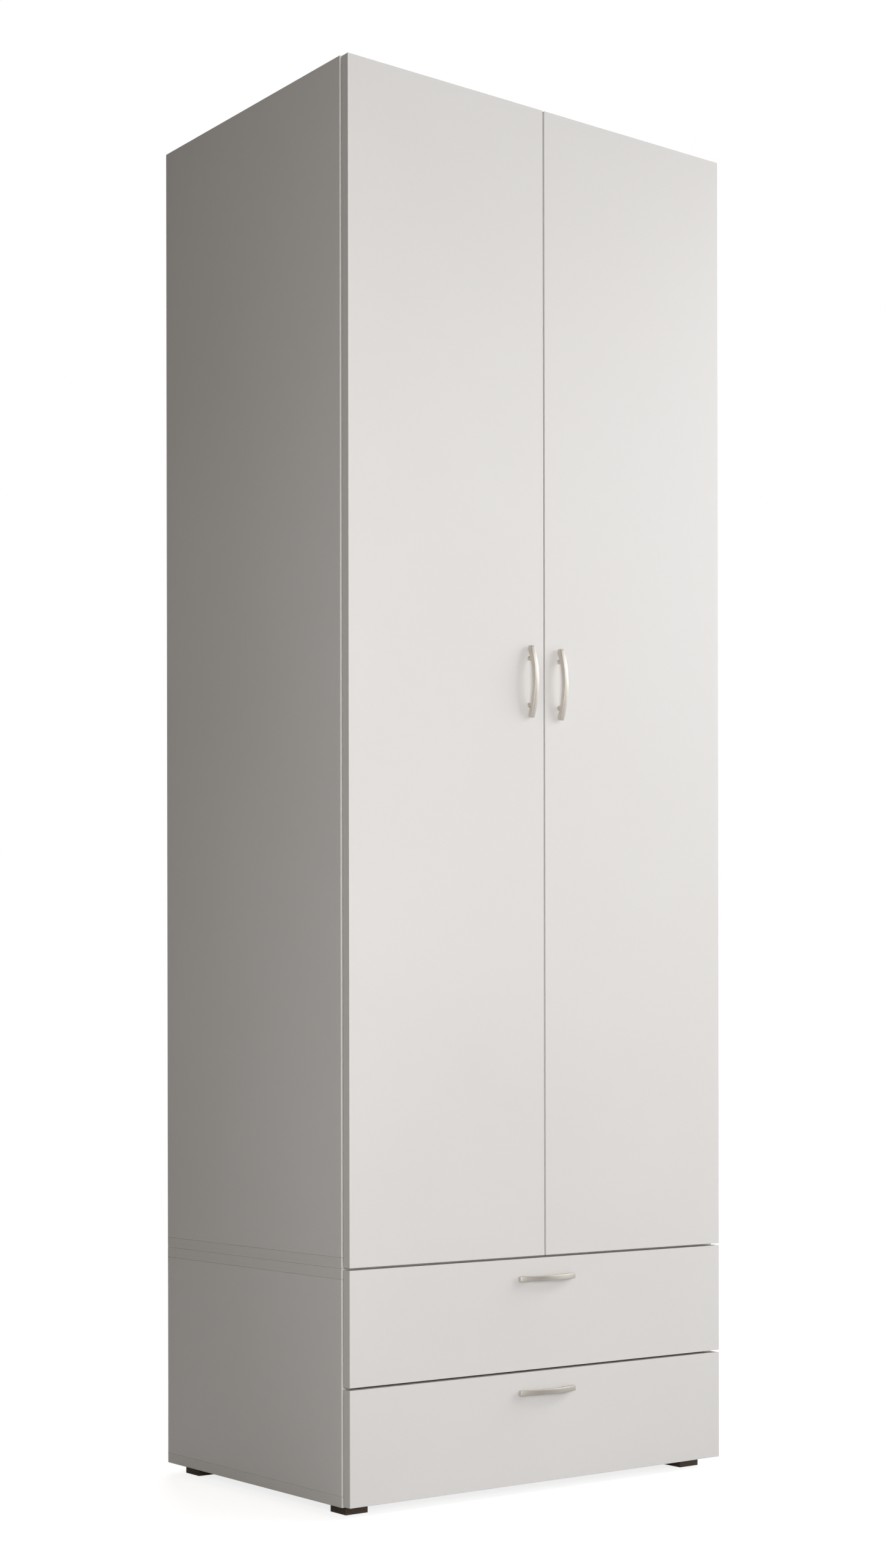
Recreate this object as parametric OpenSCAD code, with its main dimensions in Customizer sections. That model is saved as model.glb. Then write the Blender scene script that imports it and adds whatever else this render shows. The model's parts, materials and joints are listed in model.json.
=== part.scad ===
// Two-door wardrobe standing on a two-drawer base unit.
// +X to the right seen from the front, +Y to the back, +Z up. The origin is on the floor, in the middle
// of the space that the whole wardrobe takes up. Every length is in millimetres.

/* [Carcass] */
// Width over the side panels
body_w = 740; // [640:1:900]
// Depth of the side panels
body_d = 495; // [480:1:600]
// Thickness of the boards
board_t = 16; // [16:0.5:18]
// Height of the drawer unit, without its feet
base_h = 350; // [340:1:420]
// Height of the hanging unit
wardrobe_h = 1774; // [1500:1:2000]
// Thickness of the back sheets
back_t = 3; // [3:0.5:4]

/* [Feet] */
// Height of the feet
foot_h = 15; // [12:1:30]
// Side of a square foot
foot_side = 40; // [30:1:50]
// Distance from the carcass side to a foot
foot_inset_x = 17; // [10:1:40]
// Distance from the carcass front to a front foot
foot_inset_front = 14.5; // [10:0.5:40]
// Distance from the carcass back to a rear foot
foot_inset_back = 28; // [10:1:60]

/* [Fronts] */
// Thickness of the doors and drawer fronts
front_t = 16; // [16:0.5:19]
// Gap between the fronts and the carcass
standoff = 3.5; // [3.5:0.5:5]
// Gap between one front and the next above it
front_gap = 3.5; // [3:0.5:4]
// Gap between the two doors
door_gap = 3; // [2:0.5:4]
// Step from the carcass side to the edge of a front
side_step = 1; // [0.5:0.5:2]
// Step from the carcass top and bottom to the end of a front
end_step = 2; // [1:0.5:3]

/* [Handles] */
// Length of a handle
handle_l = 110; // [90:1:140]
// Distance between the two screws of a handle
handle_pitch = 72; // [60:1:80]
// Width of the handle's bow
handle_w = 8; // [6:0.1:12]
// Distance from a front to the handle's outermost point
handle_reach = 19; // [18:0.1:26]
// Thickness of the bow at its middle
handle_mid_t = 7; // [5:0.1:8]
// Rise of the bow's outer face from its ends to its middle
outer_bow = 11.2; // [7:0.1:12]
// Rise of the bow's inner face from its ends to its middle
inner_bow = 12.4; // [8:0.1:13]
// Distance from a front to the flat backs of the bow's ends
handle_end_gap = 2.6; // [1:0.1:4]
// Diameter of a handle's post
post_d = 7; // [5:0.1:7]
// Height of the door handles' middles above the floor
door_handle_z = 1251; // [1000:1:1300]
// Distance from the wardrobe's middle to a door handle's centre line
door_handle_x = 29.5; // [25:0.5:60]
// Distance from a drawer front's top edge down to its handle
drawer_handle_drop = 30.5; // [25:0.5:80]

/* [Hinges] */
// Number of hinges on each door
hinge_count = 4; // [3:1:5]
// Distance from a door's end to its first hinge
hinge_end = 100; // [80:1:130]
// Diameter of a hinge cup
cup_d = 35; // [35:1:40]
// Depth of a hinge cup
cup_deep = 12.8; // [12.5:0.1:13]

/* [Interior] */
// Clear height above the hat shelf
hat_space = 300; // [250:1:400]
// Depth of the hat shelf
shelf_d = 470; // [400:1:475]
// Diameter of the clothes rail
rail_d = 25; // [20:1:30]
// Distance from the shelf down to the rail's centre
rail_drop = 60; // [45:1:80]

/* [Drawers] */
// Thickness of the drawer sides and back
drawer_board_t = 12; // [12:0.5:15]
// Height of a drawer side
drawer_side_h = 120; // [90:1:120]
// Length of a drawer side
drawer_l = 450; // [400:1:450]
// Height of a drawer side's lower edge above the lower edge of its front
drawer_lift = 28; // [28:1:32]
// Width of the space for a runner beside a drawer
runner_space = 12.5; // [12.5:0.5:13]
// Radius of the runners' rollers
roller_r = 9; // [8.5:0.1:9]

/* [Hidden] */
$fn = 64;

// Finishes
melamine = "#e6e2da";
hardboard = "#d9d2c4";
nickel = "#b9afa2";
zinc = "#b4b7ba";
dark_brown = "#4a3f36";
white_steel = "#e9e9e6";
white_nylon = "#f2f1ec";
beech = "#c9a67a";
clear_rubber = "#d8d8d2";

// Room between a fastener and its hole, and between a pin and its bore
play = 0.1;
pin_play = 0.08;
// Room between rolling parts
roll_gap = 0.3;

// Planes of the carcass. A strip that joins the back sheets stands proud of them by its lip.
strip_lip = 1;
x_out = body_w / 2;
x_in = x_out - board_t;
total_d = handle_reach + front_t + standoff + body_d + back_t + strip_lip;
y_front = handle_reach - total_d / 2;
y_carcass = y_front + front_t + standoff;
y_back = y_carcass + body_d;
z_base = foot_h;
z_joint = foot_h + base_h;
z_top = z_joint + wardrobe_h;

// Fronts
x_edge = x_out - side_step;
door_z0 = z_joint + front_gap / 2;
door_z1 = z_top - end_step;
drawer_z0 = z_base + end_step;
drawer_front_h = (z_joint - front_gap / 2 - drawer_z0 - front_gap) / 2;
LOWER = drawer_z0;
UPPER = drawer_z0 + drawer_front_h + front_gap;

// Handle: the bow lies between two circles whose arcs rise by outer_bow and inner_bow over its length
function arc_radius(half, rise) = (half * half + rise * rise) / (2 * rise);
outer_r = arc_radius(handle_l / 2, outer_bow);
inner_r = arc_radius(handle_l / 2, inner_bow);
handle_screw_r = 1.9;
post_root = 1.5;
handle_screw_deep = 10;

// Hinge, measured from the carcass side's outer face and from the carcass's front edge. The pin sits deep
// in the cup near the door's edge, so that the door turns clear of the side panel.
pin_r = 1.25;
pin_half = 7.6;
pin_x = side_step + 8;
pin_y = -standoff - 8.8;
knuckle_r = 2.2;
neck_t = 1.6;
neck_half = 5.5;
neck_x = board_t + 7;
cup_x = side_step + 4 + cup_d / 2;
cup_wall = 0.7;
cup_floor_y = -standoff - cup_deep;
flange_t = 1;
flange_half = 28;
flange_w = 12;
flange_screw_z = 24;
flange_screw_r = 3.2;
ear_gap = 0.8;
ear_t = 1.8;
ear_back = 4;
ear_front = 2.8;

// Mounting plate and arm
plate_y = 28;
plate_t = 1.5;
plate_d = 18;
plate_half = 25;
plate_screw_z = 16;
plate_screw_r = 3.4;
rib_t = 5.5;
rib_y0 = plate_y - 8;
rib_y1 = plate_y + 32;
arm_half = 8;
arm_y1 = plate_y + 34;
arm_wing_t = 1.4;
arm_wing_y = 12;
arm_screw_ys = [plate_y - 4, plate_y + 24];
arm_screw_r = 3;
shank_w = 4.4;
hinge_span = door_z1 - door_z0 - 2 * hinge_end;
function hinge_z(i) = door_z0 + hinge_end + i * hinge_span / (hinge_count - 1);

// The back sheets stop short of the carcass's outline and of each other
back_inset = 2;
sheet_gap = 2;

// Interior
shelf_side_gap = 1;
shelf_back_gap = 5;
shelf_z = z_top - board_t - hat_space - board_t;
shelf_y = y_back - shelf_d - shelf_back_gap;
rail_z = shelf_z - rail_drop;
rail_y = y_carcass + body_d / 2;
rail_wall = 1.2;
rail_end_gap = 2;
socket_t = 10;
socket_wall = 3;
socket_flange = 9;
socket_screw_r = 1.6;

// Cam fittings stand near the front and back edges, and a dowel stands one system pitch further in
cam_inset = 60;
dowel_inset = cam_inset + 32;
cam_ys = [y_carcass + cam_inset, y_back - cam_inset];
dowel_ys = [y_carcass + dowel_inset, y_back - dowel_inset];
cam_r = 7.5;
cam_deep = 12.5;
cam_centre = 34;
bolt_r = 3;
dowel_r = 4;
bite = 11;
cam_slot_l = 9;
cam_slot_w = 1.6;
cam_slot_deep = 3;

// Wall brackets
bracket_x = 250;
bracket_leg = 30;
bracket_w = 20;
bracket_t = 2;
bracket_hole = bracket_leg / 2 + bracket_t;
bracket_screw_h = 1.5;
wall_hole_r = 3;

// Drawers
box_y0 = y_front + front_t;
box_y1 = box_y0 + drawer_l;
box_x = x_in - runner_space;
groove_deep = 5;
groove_z = 10;
runner_wall = 1.2;
runner_y0 = y_carcass + 2;
runner_y1 = runner_y0 + drawer_l;
axle_r = 2;
roller_half = 4.3;
shoulder_r = 1;
shoulder_y = roller_half - shoulder_r;
roller_x = x_in - 6.3;
axle_end_out = roller_x + roller_half + 0.4;
axle_end_in = roller_x - roller_half - 0.4;
front_roller_y = runner_y0 + 14;
rear_roller_y = box_y1 - 12;
track_z = 15;
ledge_gap = 2.5;
cabinet_foot_w = 10.5;
cabinet_rail_z = 20;
front_roller_z = track_z - roll_gap - roller_r;
rear_roller_z = 0.5;
cabinet_foot_z = rear_roller_z - roller_r - roll_gap;

// ---------------------------------------------------------------- helpers

// A box from its lowest to its highest corner
module block(lo, hi) { translate(lo) cube(hi - lo); }

// The same shape on the left, as drawn, and on the right
module both_sides() {
    children();
    mirror([1, 0, 0]) children();
}

// A cylinder along X, centred on its middle
module rod_x(r, length) { rotate([0, 90, 0]) cylinder(r = r, h = length, center = true); }

// A cylinder along Y, from y = 0 back to y = length
module rod_y(r, length) { rotate([-90, 0, 0]) cylinder(r = r, h = length); }

// ---------------------------------------------------------------- carcass joints

// The four joints between boards on each side, at the given places along Y. The child is drawn with the
// joint at z = 0, the board that holds the fitting above it and that board's inner face at +x.
module joint_places(ys) {
    both_sides() for (y = ys) {
        translate([-x_out + board_t / 2, y, z_base + board_t]) children();
        translate([-x_out + board_t / 2, y, z_joint - board_t]) mirror([0, 0, 1]) children();
        translate([-x_out + board_t / 2, y, z_joint + board_t]) children();
        translate([-x_in, y, z_top - board_t / 2]) rotate([0, 90, 0]) children();
    }
}

module cam_bores() {
    joint_places(cam_ys) {
        translate([board_t / 2 - cam_deep / 2, 0, cam_centre]) rod_x(cam_r + play, cam_deep + 2 * play);
        translate([0, 0, -bite - play]) cylinder(r = bolt_r + play, h = bite + cam_centre);
    }
}

module dowel_bores() {
    joint_places(dowel_ys) translate([0, 0, -bite - play])
        cylinder(r = dowel_r + play, h = 3 * bite + 2 * play);
}

module cam_fittings() {
    color(zinc) joint_places(cam_ys) {
        difference() {
            translate([board_t / 2 - cam_deep / 2, 0, cam_centre]) rod_x(cam_r, cam_deep);
            translate([board_t / 2, 0, cam_centre])
                cube([2 * cam_slot_deep, cam_slot_l, cam_slot_w], center = true);
            translate([board_t / 2, 0, cam_centre])
                cube([2 * cam_slot_deep, cam_slot_w, cam_slot_l], center = true);
        }
        translate([0, 0, -bite]) cylinder(r = bolt_r, h = bite + cam_centre - cam_r - play);
    }
}

module wood_dowels() {
    color(beech) joint_places(dowel_ys) translate([0, 0, -bite]) cylinder(r = dowel_r, h = 3 * bite);
}

// Screws: one up through each foot, and four that hold the two units together
screw_r = 2;
screw_head_r = 4;
screw_head_h = 2.5;
slot_l = 5;
slot_w = 1;
slot_deep = 1;
tip_cover = 4;
foot_screw_z = 5;
foot_screw_l = foot_h + board_t - foot_screw_z - tip_cover;
unit_screw_l = 2 * board_t - tip_cover - 1;
unit_screw_inset = 60;

module foot_places() {
    both_sides() for (y = [y_carcass + foot_inset_front, y_back - foot_inset_back - foot_side])
        translate([-x_out + foot_inset_x, y, 0]) children();
}

module unit_screw_places() {
    both_sides() for (y = cam_ys)
        translate([-x_in + unit_screw_inset, y, z_joint - board_t]) children();
}

// A screw's head, from its cross-slotted face at z = 0 up to the shank
module screw_head() {
    difference() {
        cylinder(r = screw_head_r, h = screw_head_h);
        cube([slot_l, slot_w, 2 * slot_deep], center = true);
        cube([slot_w, slot_l, 2 * slot_deep], center = true);
    }
}

// A screw that points up from the underside of its head's seat at z = 0
module carcass_screw(length) {
    cylinder(r = screw_r, h = length);
    translate([0, 0, -screw_head_h]) screw_head();
}

module carcass_screws() {
    color(zinc) {
        foot_places() translate([foot_side / 2, foot_side / 2, foot_screw_z]) carcass_screw(foot_screw_l);
        unit_screw_places() carcass_screw(unit_screw_l);
    }
}

module screw_bores() {
    foot_places() translate([foot_side / 2, foot_side / 2, foot_screw_z])
        cylinder(r = screw_r + play, h = foot_screw_l + play);
    unit_screw_places() translate([0, 0, -play]) cylinder(r = screw_r + play, h = unit_screw_l + 2 * play);
}

// ---------------------------------------------------------------- drawer unit

module base_side() {
    color(melamine) difference() {
        block([-x_out, y_carcass, z_base + board_t], [-x_in, y_back, z_joint - board_t]);
        cam_bores();
        dowel_bores();
    }
}

module base_side_left() { base_side(); }
module base_side_right() { mirror([1, 0, 0]) base_side(); }

module base_bottom() {
    color(melamine) difference() {
        block([-x_out, y_carcass, z_base], [x_out, y_back, z_base + board_t]);
        cam_bores();
        dowel_bores();
        screw_bores();
    }
}

module base_top() {
    color(melamine) difference() {
        block([-x_out, y_carcass, z_joint - board_t], [x_out, y_back, z_joint]);
        cam_bores();
        dowel_bores();
        screw_bores();
    }
}

module base_back() {
    color(hardboard) difference() {
        block([-x_out + back_inset, y_back, z_base + back_inset],
              [x_out - back_inset, y_back + back_t, z_joint - sheet_gap / 2]);
        nail_bores();
    }
}

// A square block foot, drawn with its corner at the origin, with a recess for its screw
recess_room = 1;

module foot() {
    color(dark_brown) difference() {
        block([0, 0, 0], [foot_side, foot_side, foot_h]);
        translate([foot_side / 2, foot_side / 2, -1])
            cylinder(r = screw_head_r + recess_room, h = foot_screw_z + 1);
        translate([foot_side / 2, foot_side / 2, 0]) cylinder(r = screw_r + play, h = foot_h + 1);
    }
}

module foot_front_left() {
    translate([-x_out + foot_inset_x, y_carcass + foot_inset_front, 0]) foot();
}
module foot_rear_left() {
    translate([-x_out + foot_inset_x, y_back - foot_inset_back - foot_side, 0]) foot();
}
module foot_front_right() { mirror([1, 0, 0]) foot_front_left(); }
module foot_rear_right() { mirror([1, 0, 0]) foot_rear_left(); }

// ---------------------------------------------------------------- hanging unit

shelf_pin_r = 2.5;
shelf_pin_l = 8;
shelf_pin_inset = 40;
shelf_pin_ys = [shelf_y + shelf_pin_inset, shelf_y + shelf_d - shelf_pin_inset];

module shelf_pin_places() {
    both_sides() for (y = shelf_pin_ys)
        translate([-x_in, y, shelf_z - shelf_pin_r]) children();
}

module wardrobe_side() {
    color(melamine) difference() {
        block([-x_out, y_carcass, z_joint + board_t], [-x_in, y_back, z_top]);
        cam_bores();
        dowel_bores();
        shelf_pin_places() rod_x(shelf_pin_r + play, 2 * shelf_pin_l + 2 * play);
    }
}

module wardrobe_side_left() { wardrobe_side(); }
module wardrobe_side_right() { mirror([1, 0, 0]) wardrobe_side(); }

module wardrobe_bottom() {
    color(melamine) difference() {
        block([-x_out, y_carcass, z_joint], [x_out, y_back, z_joint + board_t]);
        cam_bores();
        dowel_bores();
        screw_bores();
    }
}

module wardrobe_top() {
    color(melamine) difference() {
        block([-x_in, y_carcass, z_top - board_t], [x_in, y_back, z_top]);
        cam_bores();
        dowel_bores();
    }
}

// The hanging unit's back is two sheets, held edge to edge by an H-shaped strip between the side panels
strip_z = (z_joint + z_top) / 2;
strip_h = 24;
strip_web = 1;

module back_sheet(z0, z1) {
    color(hardboard) difference() {
        block([-x_out + back_inset, y_back, z0], [x_out - back_inset, y_back + back_t, z1]);
        nail_bores();
        bracket_holes();
    }
}

module back_lower() { back_sheet(z_joint + sheet_gap / 2, strip_z - strip_web / 2); }
module back_upper() { back_sheet(strip_z + strip_web / 2, z_top - back_inset); }

module back_joint_strip() {
    x = x_in - shelf_side_gap;
    color(white_nylon) {
        block([-x, y_back - strip_lip, strip_z - strip_h / 2], [x, y_back, strip_z + strip_h / 2]);
        block([-x, y_back, strip_z - strip_web / 2], [x, y_back + back_t, strip_z + strip_web / 2]);
        block([-x, y_back + back_t, strip_z - strip_h / 2],
              [x, y_back + back_t + strip_lip, strip_z + strip_h / 2]);
    }
}

// Nails along the edges of the back sheets, into the middle of each board
nail_r = 0.9;
nail_head_r = 2.2;
nail_head_h = 0.8;
nail_l = 14;
nail_step = 150;
nail_end = 60;

// Evenly spaced places from a to b, about one nail_step apart
function along(a, b) = let (n = max(2, round((b - a) / nail_step)))
    [for (i = [0:n]) a + (b - a) * i / n];

module nail_places() {
    for (z = [z_base + board_t / 2, z_joint - board_t / 2, z_joint + board_t / 2, z_top - board_t / 2])
        for (x = along(-x_in + nail_end, x_in - nail_end))
            translate([x, y_back + back_t, z]) children();
    both_sides() {
        for (ends = [[z_base, z_joint], [z_joint, strip_z], [strip_z, z_top]])
            for (z = along(ends[0] + nail_end, ends[1] - nail_end))
                translate([-x_out + board_t / 2, y_back + back_t, z]) children();
    }
}

module nail_bores() {
    nail_places() translate([0, -back_t - 1, 0]) rod_y(nail_r + play, back_t + 2);
}

module back_nails() {
    color(zinc) nail_places() {
        translate([0, -nail_l, 0]) rod_y(nail_r, nail_l);
        rod_y(nail_head_r, nail_head_h);
    }
}

module hat_shelf() {
    x = x_in - shelf_side_gap;
    color(melamine) block([-x, shelf_y, shelf_z], [x, shelf_y + shelf_d, shelf_z + board_t]);
}

module shelf_pins() {
    color(zinc) shelf_pin_places() rod_x(shelf_pin_r, 2 * shelf_pin_l);
}

module clothes_rail() {
    color(zinc) translate([0, rail_y, rail_z]) difference() {
        rod_x(rail_d / 2, 2 * (x_in - rail_end_gap));
        rod_x(rail_d / 2 - rail_wall, 2 * x_in);
    }
}

// A flanged ring on each side panel, which the end of the rail stands in
module rail_sockets() {
    color(zinc) both_sides() translate([-x_in, rail_y, rail_z]) difference() {
        union() {
            translate([socket_t / 2, 0, 0]) rod_x(rail_d / 2 + socket_wall, socket_t);
            translate([rail_wall / 2, 0, 0]) rod_x(rail_d / 2 + socket_flange, rail_wall);
        }
        translate([socket_t / 2 + rail_wall, 0, 0]) rod_x(rail_d / 2 + play, socket_t);
        for (a = [60, 180, 300])
            rotate([a, 0, 0]) translate([0, 0, rail_d / 2 + (socket_wall + socket_flange) / 2])
                rod_x(socket_screw_r, 4 * rail_wall);
    }
}

// An L-shaped bracket under the top, with a hole for a screw into the wall
module bracket_places() { both_sides() translate([-bracket_x, y_back, z_top - board_t]) children(); }

module bracket_holes() {
    bracket_places() translate([0, -bracket_t - 1, -bracket_hole])
        rod_y(wall_hole_r, bracket_t + back_t + 2);
}

module wall_brackets() {
    color(zinc) difference() {
        bracket_places() {
            block([-bracket_w / 2, -bracket_t, -bracket_leg], [bracket_w / 2, 0, 0]);
            block([-bracket_w / 2, -bracket_leg, -bracket_t], [bracket_w / 2, 0, 0]);
            translate([0, -bracket_hole, -bracket_t - bracket_screw_h])
                cylinder(r = screw_head_r, h = bracket_screw_h + 0.5);
        }
        bracket_holes();
    }
}

// Soft pads that the closed fronts stop against
bumper_r = 4;
bumper_t = standoff - roll_gap;
bumper_inset = 14;

module front_bumpers() {
    color(clear_rubber) both_sides() {
        for (z = [z_joint + board_t / 2 + 1, z_top - board_t / 2])
            translate([-door_gap - bumper_inset, y_carcass - bumper_t, z]) rod_y(bumper_r, bumper_t);
        for (z = [LOWER, UPPER])
            translate([-x_out + board_t / 2, y_carcass - bumper_t, z + drawer_front_h - bumper_inset])
                rod_y(bumper_r, bumper_t);
    }
}

// ---------------------------------------------------------------- hinges

module hinge_places() {
    for (i = [0:hinge_count - 1]) translate([-x_out, y_carcass, hinge_z(i)]) children();
}

// The plate on the side panel: a flat cross and the rib that carries the arm
module hinge_plates() {
    color(zinc) both_sides() hinge_places() {
        block([board_t, plate_y, -plate_half], [board_t + plate_t, plate_y + plate_d, plate_half]);
        block([board_t, rib_y0, -neck_half], [board_t + rib_t, rib_y1, neck_half]);
        for (z = [-plate_screw_z, plate_screw_z])
            translate([board_t + plate_t + 0.5, plate_y + plate_d / 2, z]) rod_x(plate_screw_r, 2);
    }
}

// The arm straddles the rib, and its neck bends round the rim of the cup to the knuckle on the pin
module hinge_arms() {
    color(zinc) both_sides() hinge_places() difference() {
        union() {
            block([neck_x, 0, -arm_half], [neck_x + neck_t, arm_y1, arm_half]);
            for (z = [-arm_half, arm_half - arm_wing_t])
                block([board_t + 2, arm_wing_y, z], [neck_x + neck_t, arm_y1, z + arm_wing_t]);
            block([neck_x, pin_y - knuckle_r, -neck_half], [neck_x + neck_t, 1, neck_half]);
            block([pin_x, pin_y - knuckle_r, -neck_half],
                  [neck_x + neck_t, pin_y - knuckle_r + neck_t, neck_half]);
            translate([pin_x, pin_y, 0]) cylinder(r = knuckle_r, h = 2 * neck_half, center = true);
            for (y = arm_screw_ys) {
                translate([neck_x + neck_t, y, 0]) rod_x(arm_screw_r, 2);
                block([board_t + rib_t, y - shank_w / 2, -shank_w / 2],
                      [neck_x + 1, y + shank_w / 2, shank_w / 2]);
            }
        }
        translate([pin_x, pin_y, 0]) cylinder(r = pin_r + pin_play, h = 4 * neck_half, center = true);
    }
}

// The cup with its flange, its two screws and the two ears that hold the pin
module hinge_cup() {
    difference() {
        union() {
            translate([cup_x, cup_floor_y, 0]) rod_y(cup_d / 2, cup_deep + flange_t);
            translate([cup_x, -standoff, 0]) rod_y(cup_d / 2 + 1.5, flange_t);
            block([cup_x + 2, -standoff, -flange_half],
                  [cup_x + 2 + flange_w, -standoff + flange_t, flange_half]);
            for (z = [-flange_screw_z, flange_screw_z])
                translate([cup_x + 2 + flange_w / 2, -standoff, z]) rod_y(flange_screw_r, flange_t + 0.8);
        }
        translate([cup_x, cup_floor_y + cup_wall, 0]) rod_y(cup_d / 2 - cup_wall, cup_deep + flange_t);
    }
    difference() {
        intersection() {
            translate([cup_x, cup_floor_y, 0]) rod_y(cup_d / 2 - 0.2, cup_deep);
            union() for (z = [-neck_half - ear_gap - ear_t, neck_half + ear_gap])
                block([pin_x - ear_back, cup_floor_y, z], [pin_x + ear_front, pin_y + knuckle_r, z + ear_t]);
        }
        translate([pin_x, pin_y, 0]) cylinder(r = pin_r + 0.02, h = 30, center = true);
    }
}

module hinge_pin() { translate([pin_x, pin_y, 0]) cylinder(r = pin_r, h = 2 * pin_half, center = true); }

module left_hinge_cups() { color(zinc) hinge_places() hinge_cup(); }
module right_hinge_cups() { mirror([1, 0, 0]) left_hinge_cups(); }
module left_hinge_pins() { color(zinc) hinge_places() hinge_pin(); }
module right_hinge_pins() { mirror([1, 0, 0]) left_hinge_pins(); }

// ---------------------------------------------------------------- handles

// The bow's outline, with x as the distance from the front and y along the handle
module bow_outline() {
    difference() {
        intersection() {
            translate([handle_reach - outer_r, 0]) circle(r = outer_r, $fn = 360);
            translate([handle_end_gap, -handle_l / 2]) square([handle_reach, handle_l]);
        }
        translate([handle_reach - handle_mid_t - inner_r, 0]) circle(r = inner_r, $fn = 360);
    }
}

// An upright handle, centred on its place on a front
module handle() {
    half = handle_pitch / 2;
    post_l = handle_reach - handle_mid_t - inner_r + sqrt(inner_r * inner_r - half * half);
    color(nickel) difference() {
        union() {
            rotate([90, 0, -90]) linear_extrude(height = handle_w, center = true) bow_outline();
            for (z = [-half, half])
                translate([0, -post_l - post_root, z]) rod_y(post_d / 2, post_l + post_root);
        }
        for (z = [-half, half])
            translate([0, -handle_screw_deep - 1, z]) rod_y(handle_screw_r + play, handle_screw_deep + 2);
    }
}

// The two screws of an upright handle, from the back of the front
module handle_screws() {
    color(zinc) for (z = [-handle_pitch / 2, handle_pitch / 2]) translate([0, 0, z]) {
        translate([0, -handle_screw_deep, 0]) rod_y(handle_screw_r, handle_screw_deep + front_t);
        translate([0, front_t + screw_head_h, 0]) rotate([90, 0, 0]) screw_head();
    }
}

module handle_bores() {
    for (z = [-handle_pitch / 2, handle_pitch / 2])
        translate([0, -1, z]) rod_y(handle_screw_r + play, front_t + 2);
}

// ---------------------------------------------------------------- doors

module door_handle_place() { translate([-door_handle_x, y_front, door_handle_z]) children(); }

module left_door() {
    color(melamine) difference() {
        block([-x_edge, y_front, door_z0], [-door_gap / 2, y_front + front_t, door_z1]);
        door_handle_place() handle_bores();
        hinge_places() translate([cup_x, cup_floor_y - play, 0]) rod_y(cup_d / 2 + play, cup_deep + 1);
    }
}

module left_door_handle() { door_handle_place() handle(); }
module left_handle_screws() { door_handle_place() handle_screws(); }
module right_door() { mirror([1, 0, 0]) left_door(); }
module right_door_handle() { mirror([1, 0, 0]) left_door_handle(); }
module right_handle_screws() { mirror([1, 0, 0]) left_handle_screws(); }

// ---------------------------------------------------------------- drawers, each drawn for the height of its
// front's lower edge

module drawer_handle_place(z0) {
    translate([0, y_front, z0 + drawer_front_h - drawer_handle_drop]) rotate([0, 90, 0]) children();
}

module drawer_front(z0) {
    color(melamine) difference() {
        block([-x_edge, y_front, z0], [x_edge, y_front + front_t, z0 + drawer_front_h]);
        drawer_handle_place(z0) handle_bores();
    }
}

module drawer_side(z0) {
    z = z0 + drawer_lift;
    color(melamine) difference() {
        block([-box_x, box_y0, z], [-box_x + drawer_board_t, box_y1, z + drawer_side_h]);
        block([-box_x + drawer_board_t - groove_deep, box_y0 - 1, z + groove_z],
              [-box_x + drawer_board_t + 1, box_y1 + 1, z + groove_z + back_t + 2 * play]);
    }
}

module drawer_back(z0) {
    z = z0 + drawer_lift;
    x = box_x - drawer_board_t;
    color(melamine) block([-x, box_y1 - drawer_board_t, z + groove_z + back_t + 2 * play],
                          [x, box_y1, z + drawer_side_h]);
}

module drawer_bottom(z0) {
    z = z0 + drawer_lift + groove_z + play;
    x = box_x - drawer_board_t + groove_deep - play;
    color(hardboard) block([-x, box_y0, z], [x, box_y1, z + back_t]);
}

// The rail on the drawer's side: a web, a foot under the side and a ledge that rides on the front roller
module drawer_runners(z0) {
    z = z0 + drawer_lift;
    ledge_top = z + track_z + runner_wall;
    color(white_steel) both_sides() {
        block([-box_x - runner_wall, runner_y0, z - runner_wall], [-box_x, box_y1, ledge_top]);
        block([-box_x - runner_wall, runner_y0, z - runner_wall], [-box_x + drawer_board_t, box_y1, z]);
        block([-x_in + ledge_gap, runner_y0, z + track_z], [-box_x, box_y1, ledge_top]);
        translate([-(box_x + axle_end_out) / 2, rear_roller_y, z + rear_roller_z])
            rod_x(axle_r, axle_end_out - box_x);
    }
}

// The rail on the carcass side: a web, a track along its foot and the axle of the front roller
module cabinet_runner(z0) {
    z = z0 + drawer_lift;
    foot_z = z + cabinet_foot_z;
    block([-x_in, runner_y0, foot_z - runner_wall], [-x_in + runner_wall, runner_y1, z + cabinet_rail_z]);
    block([-x_in, runner_y0, foot_z - runner_wall], [-x_in + cabinet_foot_w, runner_y1, foot_z]);
    translate([-(x_in + axle_end_in) / 2, front_roller_y, z + front_roller_z])
        rod_x(axle_r, x_in - axle_end_in);
}

module cabinet_runners() {
    color(white_steel) both_sides() for (z0 = [LOWER, UPPER]) cabinet_runner(z0);
}

// A roller with rounded shoulders, along X and centred
module roller() {
    color(white_nylon) rotate([0, 90, 0]) rotate_extrude() difference() {
        union() {
            translate([0, -roller_half]) square([roller_r - shoulder_r, 2 * roller_half]);
            translate([0, -shoulder_y]) square([roller_r, 2 * shoulder_y]);
            for (y = [-shoulder_y, shoulder_y]) translate([roller_r - shoulder_r, y]) circle(r = shoulder_r);
        }
        translate([-1, -roller_half - 1]) square([1 + axle_r + pin_play, 2 * roller_half + 2]);
    }
}

module cabinet_rollers(z0) {
    both_sides() translate([-roller_x, front_roller_y, z0 + drawer_lift + front_roller_z]) roller();
}

module drawer_rollers(z0) {
    both_sides() translate([-roller_x, rear_roller_y, z0 + drawer_lift + rear_roller_z]) roller();
}

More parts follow.
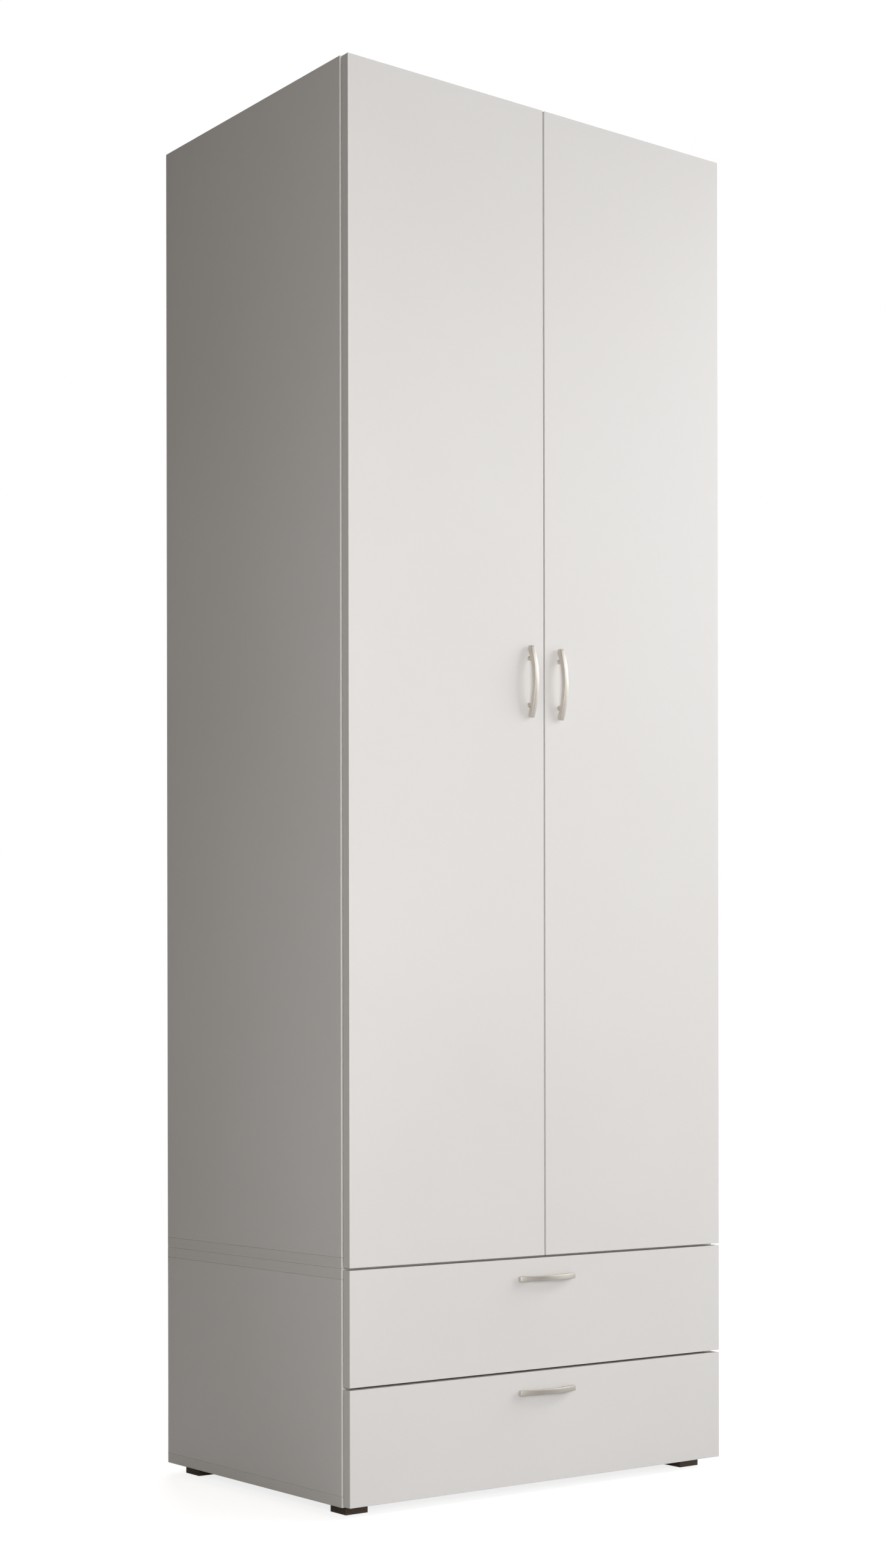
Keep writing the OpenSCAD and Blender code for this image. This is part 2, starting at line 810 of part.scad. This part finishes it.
module upper_drawer_front() { drawer_front(UPPER); }
module upper_drawer_side_left() { drawer_side(UPPER); }
module upper_drawer_side_right() { mirror([1, 0, 0]) drawer_side(UPPER); }
module upper_drawer_back() { drawer_back(UPPER); }
module upper_drawer_bottom() { drawer_bottom(UPPER); }
module upper_drawer_handle() { drawer_handle_place(UPPER) handle(); }
module upper_handle_screws() { drawer_handle_place(UPPER) handle_screws(); }
module upper_drawer_runners() { drawer_runners(UPPER); }
module upper_cabinet_rollers() { cabinet_rollers(UPPER); }
module upper_drawer_rollers() { drawer_rollers(UPPER); }

module lower_drawer_front() { drawer_front(LOWER); }
module lower_drawer_side_left() { drawer_side(LOWER); }
module lower_drawer_side_right() { mirror([1, 0, 0]) drawer_side(LOWER); }
module lower_drawer_back() { drawer_back(LOWER); }
module lower_drawer_bottom() { drawer_bottom(LOWER); }
module lower_drawer_handle() { drawer_handle_place(LOWER) handle(); }
module lower_handle_screws() { drawer_handle_place(LOWER) handle_screws(); }
module lower_drawer_runners() { drawer_runners(LOWER); }
module lower_cabinet_rollers() { cabinet_rollers(LOWER); }
module lower_drawer_rollers() { drawer_rollers(LOWER); }

base_side_left();
base_side_right();
base_bottom();
base_top();
base_back();
foot_front_left();
foot_front_right();
foot_rear_left();
foot_rear_right();
wardrobe_side_left();
wardrobe_side_right();
wardrobe_bottom();
wardrobe_top();
back_lower();
back_upper();
back_joint_strip();
back_nails();
hat_shelf();
shelf_pins();
clothes_rail();
rail_sockets();
cam_fittings();
wood_dowels();
carcass_screws();
wall_brackets();
hinge_plates();
hinge_arms();
front_bumpers();
cabinet_runners();
left_door();
left_door_handle();
left_handle_screws();
left_hinge_cups();
left_hinge_pins();
right_door();
right_door_handle();
right_handle_screws();
right_hinge_cups();
right_hinge_pins();
upper_drawer_front();
upper_drawer_side_left();
upper_drawer_side_right();
upper_drawer_back();
upper_drawer_bottom();
upper_drawer_handle();
upper_handle_screws();
upper_drawer_runners();
upper_cabinet_rollers();
upper_drawer_rollers();
lower_drawer_front();
lower_drawer_side_left();
lower_drawer_side_right();
lower_drawer_back();
lower_drawer_bottom();
lower_drawer_handle();
lower_handle_screws();
lower_drawer_runners();
lower_cabinet_rollers();
lower_drawer_rollers();
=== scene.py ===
import json
import math

import bmesh
import bpy
from mathutils import Matrix, Vector

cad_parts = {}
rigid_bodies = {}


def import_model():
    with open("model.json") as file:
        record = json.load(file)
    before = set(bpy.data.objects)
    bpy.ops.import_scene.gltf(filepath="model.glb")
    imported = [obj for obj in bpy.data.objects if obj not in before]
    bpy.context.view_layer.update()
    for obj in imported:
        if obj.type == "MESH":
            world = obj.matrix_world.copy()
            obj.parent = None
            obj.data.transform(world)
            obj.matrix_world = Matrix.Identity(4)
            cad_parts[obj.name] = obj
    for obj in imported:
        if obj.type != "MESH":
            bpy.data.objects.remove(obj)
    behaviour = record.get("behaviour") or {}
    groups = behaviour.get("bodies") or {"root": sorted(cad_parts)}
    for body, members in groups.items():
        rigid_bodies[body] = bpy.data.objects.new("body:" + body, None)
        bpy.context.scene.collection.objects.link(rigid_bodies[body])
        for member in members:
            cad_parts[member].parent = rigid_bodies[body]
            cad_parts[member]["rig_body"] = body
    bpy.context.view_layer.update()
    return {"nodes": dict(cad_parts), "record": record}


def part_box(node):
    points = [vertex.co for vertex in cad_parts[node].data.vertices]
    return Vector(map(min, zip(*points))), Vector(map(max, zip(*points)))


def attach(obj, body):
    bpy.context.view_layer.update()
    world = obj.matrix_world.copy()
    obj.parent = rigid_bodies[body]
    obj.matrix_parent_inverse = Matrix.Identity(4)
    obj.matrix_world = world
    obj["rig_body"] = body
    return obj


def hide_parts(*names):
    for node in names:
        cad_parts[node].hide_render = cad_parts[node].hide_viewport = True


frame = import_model()
NODES = frame["nodes"]
MM = 0.001

# ---------------------------------------------------------------- places, all from the frame

DOOR_LOW, DOOR_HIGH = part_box("left_door")
LEFT_X = DOOR_LOW.x
FRONT_Y = DOOR_LOW.y
TOP_Z = DOOR_HIGH.z
FRONT_LEFT = Vector((LEFT_X, FRONT_Y, 0.0))

# ---------------------------------------------------------------- camera, fitted to the photograph

CAMERA_PLACE = FRONT_LEFT + Vector((-2.0228, -2.8967, 0.6907))
CAMERA_AZIMUTH = math.radians(37.14)
CAMERA_ROLL = math.radians(-0.0935)
CAMERA_SENSOR = 36.0
CAMERA_LENS = 55.69
CAMERA_SHIFT = 0.167
CAMERA_FAR_CLIP = 100.0


def aim(obj, place, target, roll=0.0):
    """Puts obj at place, with its -Z axis towards target and turned by roll about it."""
    turn = (Vector(target) - Vector(place)).to_track_quat("-Z", "Y").to_matrix().to_4x4()
    obj.matrix_world = Matrix.Translation(place) @ turn @ Matrix.Rotation(roll, 4, "Z")


def add_camera():
    """A level camera in front of the left corner, shifted up as far as the framing needs."""
    data = bpy.data.cameras.new("camera")
    data.sensor_width = CAMERA_SENSOR
    data.lens = CAMERA_LENS
    data.shift_y = CAMERA_SHIFT
    data.clip_end = CAMERA_FAR_CLIP
    camera = bpy.data.objects.new("camera", data)
    bpy.context.scene.collection.objects.link(camera)
    look = Vector((math.sin(CAMERA_AZIMUTH), math.cos(CAMERA_AZIMUTH), 0.0))
    aim(camera, CAMERA_PLACE, CAMERA_PLACE + look, CAMERA_ROLL)
    bpy.context.scene.camera = camera


# ---------------------------------------------------------------- building node materials

SPAN = (0.35, 0.65)         # where nearly all of a noise's values lie
WIDE_SPAN = (0.3, 0.7)      # a little wider, for a softer change


class Maker:
    """Builds one node material, a node at a time."""

    def __init__(self, name):
        self.material = bpy.data.materials.new(name)
        self.material.use_nodes = True
        self.tree = self.material.node_tree
        self.tree.nodes.clear()
        self.out = self.add("OutputMaterial")
        self.shader = None

    def add(self, kind, **values):
        """A shader node of one kind, with some of its properties set."""
        node = self.tree.nodes.new("ShaderNode" + kind)
        for key, value in values.items():
            setattr(node, key, value)
        return node

    def link(self, source, target):
        """Joins an output to an input."""
        self.tree.links.new(source, target)

    def principled(self, **sockets):
        """The material's shader. Values that are the same all over are set on its sockets."""
        self.shader = self.add("BsdfPrincipled")
        for key, value in sockets.items():
            self.shader.inputs[key.replace("_", " ")].default_value = value
        self.link(self.shader.outputs["BSDF"], self.out.inputs["Surface"])

    def to(self, value, socket):
        """Feeds one of the shader's sockets."""
        self.link(value, self.shader.inputs[socket])

    def place(self):
        """Object coordinates, in metres."""
        return self.add("TexCoord").outputs["Object"]

    def stretched(self, scale):
        """Object coordinates with a scale of their own along each axis."""
        node = self.add("Mapping")
        node.inputs["Scale"].default_value = scale
        self.link(self.place(), node.inputs["Vector"])
        return node.outputs["Vector"]

    def noise(self, vector, scale, detail=2.0, roughness=0.5):
        """Fractal noise, finer at a larger scale."""
        node = self.add("TexNoise")
        node.inputs["Scale"].default_value = scale
        node.inputs["Detail"].default_value = detail
        node.inputs["Roughness"].default_value = roughness
        self.link(vector, node.inputs["Vector"])
        return node.outputs["Fac"]

    def remap(self, value, low, high, span):
        """A number that goes from low to high while a value crosses a span, and stays level outside it."""
        node = self.add("MapRange")
        node.inputs["From Min"].default_value = span[0]
        node.inputs["From Max"].default_value = span[1]
        node.inputs["To Min"].default_value = low
        node.inputs["To Max"].default_value = high
        self.link(value, node.inputs["Value"])
        return node.outputs["Result"]

    def math(self, operation, a, b=None):
        """An operation on numbers or on what other nodes give."""
        node = self.add("Math", operation=operation)
        for socket, value in zip(node.inputs, (a, b)):
            if value is None:
                continue
            if isinstance(value, (int, float)):
                socket.default_value = value
            else:
                self.link(value, socket)
        return node.outputs["Value"]

    def mixture(self, a, b, share):
        """A share of a, and b for the rest."""
        return self.math("ADD", self.math("MULTIPLY", a, share), self.math("MULTIPLY", b, 1.0 - share))

    def blend(self, factor, a, b):
        """A colour between a and b."""
        node = self.add("Mix", data_type="RGBA")
        self.link(factor, node.inputs[0])
        for socket, value in ((node.inputs[6], a), (node.inputs[7], b)):
            if isinstance(value, tuple):
                socket.default_value = (*value, 1.0)
            else:
                self.link(value, socket)
        return node.outputs[2]

    def tint(self, value, dark, light, span=SPAN):
        """A colour that goes from dark to light while a value crosses a span."""
        return self.blend(self.remap(value, 0.0, 1.0, span), dark, light)

    def bump(self, height, distance, strength=0.5):
        """Relief of a depth in metres."""
        node = self.add("Bump")
        node.inputs["Strength"].default_value = strength
        node.inputs["Distance"].default_value = distance
        self.link(height, node.inputs["Height"])
        self.to(node.outputs["Normal"], "Normal")


# ---------------------------------------------------------------- light and floor

WHITE = (1.0, 1.0, 1.0)
COOL = (0.98, 0.99, 1.0)
WARM = (1.0, 0.92, 0.84)
EVEN_FILL = (1.0, 0.78, 0.56)
EVEN_FILL_STRENGTH = 0.045
FLOOR_RADIUS = 14.0
FLOOR_SIDES = 96
FLOOR_DARK = (0.52, 0.515, 0.51)
FLOOR_LIGHT = (0.56, 0.555, 0.55)
FLOOR_ROUGHNESS = 0.8
FLOOR_GLOW = (0.8, 1.0)
GLOW_REACH = (0.45, 1.1)    # distances from the middle where the glow starts to rise and where it is full


def add_light(name, place, target, size, power, colour=WHITE):
    """A soft box that faces target, with its size in metres and its power in watts."""
    data = bpy.data.lights.new(name, "AREA")
    data.shape = "RECTANGLE"
    data.size, data.size_y = size
    data.energy = power
    data.color = colour
    lamp = bpy.data.objects.new(name, data)
    bpy.context.scene.collection.objects.link(lamp)
    aim(lamp, place, target)


def polar(azimuth, distance, height):
    """A place around the wardrobe's front: azimuth in degrees to the right of straight ahead."""
    a = math.radians(azimuth)
    return Vector((math.sin(a) * distance, FRONT_Y - math.cos(a) * distance, height))


def add_lights():
    """Soft boxes on the right at three heights, above, from the front left, behind and overhead."""
    front = (0.0, FRONT_Y, 1.1)
    low_front = (0.0, FRONT_Y, 0.9)
    left_side = (LEFT_X, 0.0, 1.0)
    low_left_side = (LEFT_X, 0.0, 0.9)
    back = (0.0, 0.0, 1.1)
    top = (0.0, 0.0, TOP_Z)
    add_light("right_softbox", polar(58, 3.0, 1.9), front, size=(3.2, 2.0), power=24.0, colour=COOL)
    add_light("high_right_softbox", polar(64, 3.0, 2.4), front, size=(2.0, 1.6), power=32.0, colour=COOL)
    add_light("right_card", polar(62, 2.6, 0.6), low_front, size=(1.6, 0.9), power=8.0)
    add_light("top_softbox", polar(5, 2.4, 2.9), front, size=(1.6, 1.0), power=8.0)
    add_light("front_fill", polar(-32, 3.2, 0.9), low_left_side, size=(1.2, 1.0), power=49.0)
    add_light("left_fill", polar(-55, 3.0, 1.8), left_side, size=(1.2, 1.2), power=4.5, colour=WARM)
    add_light("back_softbox", (1.9, 2.9, 1.9), back, size=(2.0, 2.0), power=44.0)
    add_light("high_softbox", (0.3, 0.8, 4.4), top, size=(1.6, 1.6), power=17.0)


def add_background(nodes, colour, strength):
    node = nodes.new("ShaderNodeBackground")
    node.inputs["Color"].default_value = (*colour, 1.0)
    node.inputs["Strength"].default_value = strength
    return node


def add_world():
    """White behind everything, and a dim even fill on the object."""
    world = bpy.data.worlds.new("world")
    world.use_nodes = True
    nodes, links = world.node_tree.nodes, world.node_tree.links
    nodes.clear()
    out = nodes.new("ShaderNodeOutputWorld")
    mix = nodes.new("ShaderNodeMixShader")
    fill = add_background(nodes, EVEN_FILL, EVEN_FILL_STRENGTH)
    seen = add_background(nodes, WHITE, 1.0)
    path = nodes.new("ShaderNodeLightPath")
    links.new(path.outputs["Is Camera Ray"], mix.inputs["Fac"])
    links.new(fill.outputs["Background"], mix.inputs[1])
    links.new(seen.outputs["Background"], mix.inputs[2])
    links.new(mix.outputs["Shader"], out.inputs["Surface"])
    bpy.context.scene.world = world


def floor_material():
    """Pale and matt, brightened where it is seen so that it runs into the white background far out."""
    make = Maker("studio_floor")
    make.principled(Roughness=FLOOR_ROUGHNESS, Emission_Color=(*WHITE, 1.0))
    cloud = make.noise(make.place(), scale=1.3, detail=3.0)
    make.to(make.tint(cloud, FLOOR_DARK, FLOOR_LIGHT, WIDE_SPAN), "Base Color")
    distance = make.add("VectorMath", operation="LENGTH")
    make.link(make.place(), distance.inputs[0])
    glow = make.remap(distance.outputs["Value"], *FLOOR_GLOW, GLOW_REACH)
    seen = make.add("LightPath").outputs["Is Camera Ray"]
    make.to(make.math("MULTIPLY", glow, seen), "Emission Strength")
    return make.material


def add_floor():
    """A round floor that reaches far past the object."""
    bpy.ops.mesh.primitive_circle_add(vertices=FLOOR_SIDES, radius=FLOOR_RADIUS, fill_type="NGON",
                                      location=(0, 0, 0))
    floor = bpy.context.object
    floor.name = "studio_floor"
    floor.data.materials.append(floor_material())


# ---------------------------------------------------------------- materials

FACING_DARK = (0.80, 0.782, 0.765)
FACING_LIGHT = (0.83, 0.817, 0.805)
BANDING = (0.79, 0.772, 0.75)
BANDING_TURN = (0.45, 0.55)     # 1 less the normal's part along the board's axis, where banding begins
FACING_ROUGHNESS = (0.37, 0.47)
HARDBOARD_DARK = (0.70, 0.65, 0.57)
HARDBOARD_LIGHT = (0.78, 0.74, 0.67)
BEECH_DARK = (0.45, 0.27, 0.14)
BEECH_LIGHT = (0.62, 0.42, 0.24)
RUBBER_DARK = (0.86, 0.86, 0.83)
RUBBER_LIGHT = (0.92, 0.92, 0.90)


def melamine(axis):
    """Matt facing with a fine pearl texture. The edges, which don't face along axis, are banded."""
    make = Maker("melamine_" + axis)
    make.principled()
    fleck = make.noise(make.place(), scale=900.0)
    cloud = make.noise(make.place(), scale=2.2, detail=3.0)
    facing = make.tint(make.mixture(fleck, cloud, share=0.35), FACING_DARK, FACING_LIGHT)
    split = make.add("SeparateXYZ")
    make.link(make.add("TexCoord").outputs["Normal"], split.inputs["Vector"])
    off_axis = make.math("SUBTRACT", 1.0, make.math("ABSOLUTE", split.outputs[axis]))
    banded = make.remap(off_axis, 0.0, 1.0, BANDING_TURN)
    make.to(make.blend(banded, facing, BANDING), "Base Color")
    make.to(make.remap(cloud, *FACING_ROUGHNESS, WIDE_SPAN), "Roughness")
    grain = make.noise(make.place(), scale=620.0, detail=3.0, roughness=0.6)
    make.bump(grain, 0.12 * MM, strength=0.35)
    return make.material


def hardboard():
    """Pressed fibres, longer along the height."""
    make = Maker("hardboard")
    make.principled(Roughness=0.6)
    fibres = make.noise(make.stretched((1.0, 1.0, 0.45)), scale=240.0, detail=6.0, roughness=0.7)
    cloud = make.noise(make.place(), scale=5.0)
    tone = make.mixture(fibres, cloud, share=0.6)
    make.to(make.tint(tone, HARDBOARD_DARK, HARDBOARD_LIGHT), "Base Color")
    make.bump(fibres, 0.15 * MM)
    return make.material


def metal(name, light, dark, roughness, streak, scale):
    """Metal whose tone, gloss and surface follow a fine noise, stretched by streak where it is brushed."""
    make = Maker(name)
    make.principled(Metallic=1.0)
    lines = make.noise(make.stretched(streak), scale, detail=4.0, roughness=0.65)
    cloud = make.noise(make.place(), scale=60.0)
    make.to(make.tint(make.mixture(lines, cloud, share=0.7), dark, light), "Base Color")
    make.to(make.remap(lines, *roughness, WIDE_SPAN), "Roughness")
    make.bump(lines, 0.02 * MM)
    return make.material


def plastic(name, light, dark, roughness, grain_scale, grain_depth):
    """Moulded plastic or powder coat: a soft change of tone, and a fine grain."""
    make = Maker(name)
    make.principled()
    grain = make.noise(make.place(), grain_scale, detail=3.0, roughness=0.6)
    cloud = make.noise(make.place(), scale=35.0)
    make.to(make.tint(cloud, dark, light, WIDE_SPAN), "Base Color")
    make.to(make.remap(grain, *roughness, WIDE_SPAN), "Roughness")
    make.bump(grain, grain_depth)
    return make.material


def beech():
    """Wood with its grain along the height."""
    make = Maker("beech")
    make.principled(Roughness=0.6)
    grain = make.noise(make.stretched((1.0, 1.0, 0.08)), scale=900.0, detail=4.0, roughness=0.6)
    make.to(make.tint(grain, BEECH_DARK, BEECH_LIGHT), "Base Color")
    make.bump(grain, 0.05 * MM)
    return make.material


def clear_rubber():
    """Soft, half transparent bumpers."""
    make = Maker("clear_rubber")
    make.principled(Transmission_Weight=0.6, IOR=1.45, Roughness=0.25)
    cloud = make.noise(make.place(), scale=300.0)
    make.to(make.blend(cloud, RUBBER_DARK, RUBBER_LIGHT), "Base Color")
    make.bump(cloud, 0.05 * MM, strength=0.4)
    return make.material


def satin_nickel():
    """Brushed along the handle's length."""
    return metal("satin_nickel", light=(0.73, 0.69, 0.635), dark=(0.67, 0.63, 0.575),
                 roughness=(0.44, 0.52), streak=(1, 1, 0.04), scale=1600.0)


def zinc_plate():
    return metal("zinc_plate", light=(0.72, 0.73, 0.74), dark=(0.58, 0.59, 0.60),
                 roughness=(0.28, 0.42), streak=(1, 1, 1), scale=500.0)


def nickel_plate():
    return metal("nickel_plate", light=(0.84, 0.83, 0.82), dark=(0.74, 0.73, 0.72),
                 roughness=(0.24, 0.34), streak=(1, 1, 0.1), scale=700.0)


def chromed_tube():
    """Drawn along the rail's length."""
    return metal("chromed_tube", light=(0.88, 0.88, 0.89), dark=(0.82, 0.82, 0.83),
                 roughness=(0.14, 0.22), streak=(0.05, 1, 1), scale=900.0)


def dark_plastic():
    return plastic("dark_plastic", light=(0.115, 0.085, 0.060), dark=(0.095, 0.07, 0.048),
                   roughness=(0.22, 0.32), grain_scale=700.0, grain_depth=0.03 * MM)


def powder_coat():
    return plastic("powder_coat", light=(0.82, 0.82, 0.80), dark=(0.78, 0.78, 0.76),
                   roughness=(0.3, 0.42), grain_scale=1500.0, grain_depth=0.05 * MM)


def nylon():
    return plastic("nylon", light=(0.86, 0.85, 0.81), dark=(0.82, 0.81, 0.77),
                   roughness=(0.35, 0.5), grain_scale=900.0, grain_depth=0.03 * MM)


def white_plastic():
    return plastic("white_plastic", light=(0.82, 0.81, 0.78), dark=(0.79, 0.78, 0.75),
                   roughness=(0.35, 0.45), grain_scale=800.0, grain_depth=0.03 * MM)


# ---------------------------------------------------------------- handles

HANDLE_LOW, HANDLE_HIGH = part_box("left_door_handle")
HANDLE_WIDTH = HANDLE_HIGH.x - HANDLE_LOW.x
HANDLE_HALF = (HANDLE_HIGH.z - HANDLE_LOW.z) / 2
HANDLE_REACH = HANDLE_HIGH.y - HANDLE_LOW.y
HANDLE_MIDDLE = 7.0 * MM        # the bow's thickness at its middle
HANDLE_END_GAP = 2.6 * MM       # the least room between the bow and the front
OUTER_BOW = 11.2 * MM           # how far the bow's outer and inner faces fall from the middle to an end
INNER_BOW = 12.4 * MM
HANDLE_CORNER = 0.8 * MM        # the rounding of the bow's long edges, and of its ends
HANDLE_END = 0.6 * MM
BOW_STEPS = 72
CORNER_STEPS = 5

POST_PITCH = 72.0 * MM
POST_RADIUS = 3.5 * MM
POST_NECK = 3.1 * MM
POST_FOOT = 1.2 * MM
POST_SOFT = 0.25 * MM           # the width of the foot's small chamfers
POST_SINK = HANDLE_MIDDLE / 4   # how deep a post goes into the bow
POST_SIDES = 40

CREASE_ANGLE = math.radians(40)
QUARTER_TURN = math.pi / 2


def drop(bow, along):
    """How far an arc that falls by bow at the handle's ends has fallen at a distance along it."""
    radius = (HANDLE_HALF ** 2 + bow ** 2) / (2 * bow)
    return radius - math.sqrt(radius ** 2 - along ** 2)


def bow_faces(along):
    """How far the bow's outer and inner faces stand off the front."""
    inner = HANDLE_REACH - HANDLE_MIDDLE - drop(INNER_BOW, along)
    return HANDLE_REACH - drop(OUTER_BOW, along), max(inner, HANDLE_END_GAP)


def bow_ring(along, inset):
    """One cross-section of the bow: a rectangle with round corners, made smaller by inset."""
    outer, inner = bow_faces(along)
    radius = HANDLE_CORNER - inset
    x_far = HANDLE_WIDTH / 2 - inset - radius
    y_inner = -inner - inset - radius
    y_outer = -outer + inset + radius
    centres = ((x_far, y_inner), (-x_far, y_inner), (-x_far, y_outer), (x_far, y_outer))
    ring = []
    for quarter, (x, y) in enumerate(centres):
        for step in range(CORNER_STEPS + 1):
            a = QUARTER_TURN * (quarter + step / CORNER_STEPS)
            ring.append((x + radius * math.cos(a), y + radius * math.sin(a), along))
    return ring


def bow_rings():
    """The bow's cross-sections from end to end, with its two ends rounded."""
    straight = HANDLE_HALF - HANDLE_END
    rounding = [QUARTER_TURN * step / CORNER_STEPS for step in range(1, CORNER_STEPS + 1)]
    ends = [(straight + HANDLE_END * math.sin(a), HANDLE_END * (1 - math.cos(a))) for a in rounding]
    places = [(-along, inset) for along, inset in reversed(ends)]
    places += [(straight * (2 * step / BOW_STEPS - 1), 0.0) for step in range(BOW_STEPS + 1)]
    places += ends
    return [bow_ring(along, inset) for along, inset in places]


def post_rings(along):
    """One post: a foot on the front, a narrower neck, and an end sunk in the bow."""
    top = bow_faces(along)[1] + POST_SINK
    turns = [math.tau * side / POST_SIDES for side in range(POST_SIDES)]
    profile = (
        (POST_RADIUS - POST_SOFT, 0.0),
        (POST_RADIUS, POST_SOFT),
        (POST_RADIUS, POST_FOOT - POST_SOFT),
        (POST_RADIUS - POST_SOFT, POST_FOOT),
        (POST_NECK, POST_FOOT + POST_SOFT),
        (POST_NECK, top),
    )
    return [[(radius * math.cos(a), -depth, along + radius * math.sin(a)) for a in turns]
            for radius, depth in profile]


def loft(mesh, rings):
    """Joins rings of equally many points with a skin, and closes both ends."""
    rows = [[mesh.verts.new(point) for point in ring] for ring in rings]
    for low, high in zip(rows, rows[1:]):
        for i in range(len(low)):
            j = (i + 1) % len(low)
            mesh.faces.new((low[i], low[j], high[j], high[i]))
    mesh.faces.new(list(reversed(rows[0])))
    mesh.faces.new(rows[-1])


def pull_mesh(name):
    """A bow on two posts, upright, with its middle level with the origin and its feet on the plane y = 0."""
    mesh = bmesh.new()
    loft(mesh, bow_rings())
    for along in (-POST_PITCH / 2, POST_PITCH / 2):
        loft(mesh, post_rings(along))
    bmesh.ops.recalc_face_normals(mesh, faces=mesh.faces)
    data = bpy.data.meshes.new(name)
    mesh.to_mesh(data)
    mesh.free()
    for face in data.polygons:
        face.use_smooth = True
    data.set_sharp_from_angle(angle=CREASE_ANGLE)
    return data


def add_pull(node, material):
    """A smooth bow on two posts in place of a handle's CAD node, on the same spot and to the same size."""
    data = pull_mesh(node + "_pull")
    data.materials.append(material)
    pull = bpy.data.objects.new(node + "_pull", data)
    bpy.context.scene.collection.objects.link(pull)
    low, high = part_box(node)
    middle = (low + high) / 2
    upright = high.z - low.z > high.x - low.x
    turn = Matrix.Identity(4) if upright else Matrix.Rotation(QUARTER_TURN, 4, "Y")
    pull.matrix_world = Matrix.Translation((middle.x, high.y, middle.z)) @ turn
    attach(pull, NODES[node]["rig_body"])
    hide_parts(node)


# ---------------------------------------------------------------- finishing the CAD nodes

FRONT_ARRIS = 0.5 * MM
BOARD_ARRIS = 1.0 * MM
SHEET_ARRIS = 0.3 * MM
FOOT_ARRIS = 0.8 * MM
BUMPER_ARRIS = 0.6 * MM
SMALL_ARRIS = 0.2 * MM
SHARP = 0.0

ON_FACE = 0.01 * MM             # how near a vertex on a face of a board's box lies to it
WELD_REACH = 0.005 * MM
FLAT_ANGLE = math.radians(0.5)
CORNER_ANGLE = math.radians(35)
FULL_WEIGHT = 100


def on_box_edges(obj):
    """Names the vertices on the edges of a board's box, so that the bores in its faces stay sharp."""
    low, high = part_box(obj.name)
    group = obj.vertex_groups.new(name="arris")
    for vertex in obj.data.vertices:
        sides = [min(vertex.co[i] - low[i], high[i] - vertex.co[i]) < ON_FACE for i in range(3)]
        if sum(sides) >= 2:
            group.add([vertex.index], 1.0, "REPLACE")
    return group.name


def wear(name, material):
    """Gives a CAD node its material."""
    obj = NODES[name]
    obj.data.materials.clear()
    obj.data.materials.append(material)
    return obj


def weld(obj):
    """Joins the facets of a CAD mesh in a modifier."""
    joining = obj.modifiers.new("weld", "WELD")
    joining.merge_threshold = WELD_REACH


def bevel(obj, width, segments):
    """Adds a bevel, whose edges are for the caller to pick, and returns it."""
    rounding = obj.modifiers.new("bevel", "BEVEL")
    rounding.width = width
    rounding.segments = segments
    rounding.miter_outer = "MITER_ARC"
    return rounding


def dress(name, material, width):
    """Finishes a small part: its material, and its corners rounded if it has a width for them."""
    obj = wear(name, material)
    if not width:
        return
    weld(obj)
    rounding = bevel(obj, width, 2)
    rounding.limit_method = "ANGLE"
    rounding.angle_limit = CORNER_ANGLE


def dress_board(name, material, width, segments=3):
    """Finishes a board: its material, its box's edges rounded, and its faces shaded flat."""
    obj = wear(name, material)
    arris = on_box_edges(obj)
    weld(obj)
    flats = obj.modifiers.new("flats", "DECIMATE")
    flats.decimate_type = "DISSOLVE"
    flats.angle_limit = FLAT_ANGLE
    rounding = bevel(obj, width, segments)
    rounding.use_clamp_overlap = False
    rounding.loop_slide = False
    rounding.limit_method = "VGROUP"
    rounding.vertex_group = arris
    even = obj.modifiers.new("normals", "WEIGHTED_NORMAL")
    even.mode = "FACE_AREA"
    even.weight = FULL_WEIGHT
    even.keep_sharp = False


def face_axis(name):
    """The axis that a board is thinnest along."""
    low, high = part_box(name)
    size = high - low
    return "XYZ"[min(range(3), key=lambda i: size[i])]


def small_looks():
    """The material of each slot that dress finishes, and the width of its rounding."""
    return {
        "screw_steel": (zinc_plate(), SHARP),
        "hinge_steel": (nickel_plate(), SHARP),
        "rail_steel": (chromed_tube(), SHARP),
        "runner_steel": (powder_coat(), SMALL_ARRIS),
        "roller_nylon": (nylon(), SHARP),
        "strip_plastic": (white_plastic(), SMALL_ARRIS),
        "dowel_beech": (beech(), SHARP),
        "bumper_rubber": (clear_rubber(), BUMPER_ARRIS),
    }


def dress_nodes():
    """Gives every node its look. The handles get new meshes, and the others keep theirs."""
    boards = {axis: melamine(axis) for axis in "XYZ"}
    sheet = hardboard()
    foot = dark_plastic()
    nickel = satin_nickel()
    looks = small_looks()
    for part in frame["record"]["subparts"]:
        name, slot = part["node"], part["material_slot"]
        if slot == "handle_nickel":
            add_pull(name, nickel)
        elif slot == "melamine_board":
            is_front = name.endswith(("_door", "_drawer_front"))
            dress_board(name, boards[face_axis(name)], FRONT_ARRIS if is_front else BOARD_ARRIS)
        elif slot == "hardboard":
            dress_board(name, sheet, SHEET_ARRIS, 2)
        elif slot == "foot_plastic":
            dress_board(name, foot, FOOT_ARRIS)
        else:
            dress(name, *looks[slot])


add_camera()
add_world()
add_lights()
add_floor()
dress_nodes()

bpy.context.scene.view_settings.view_transform = "Standard"
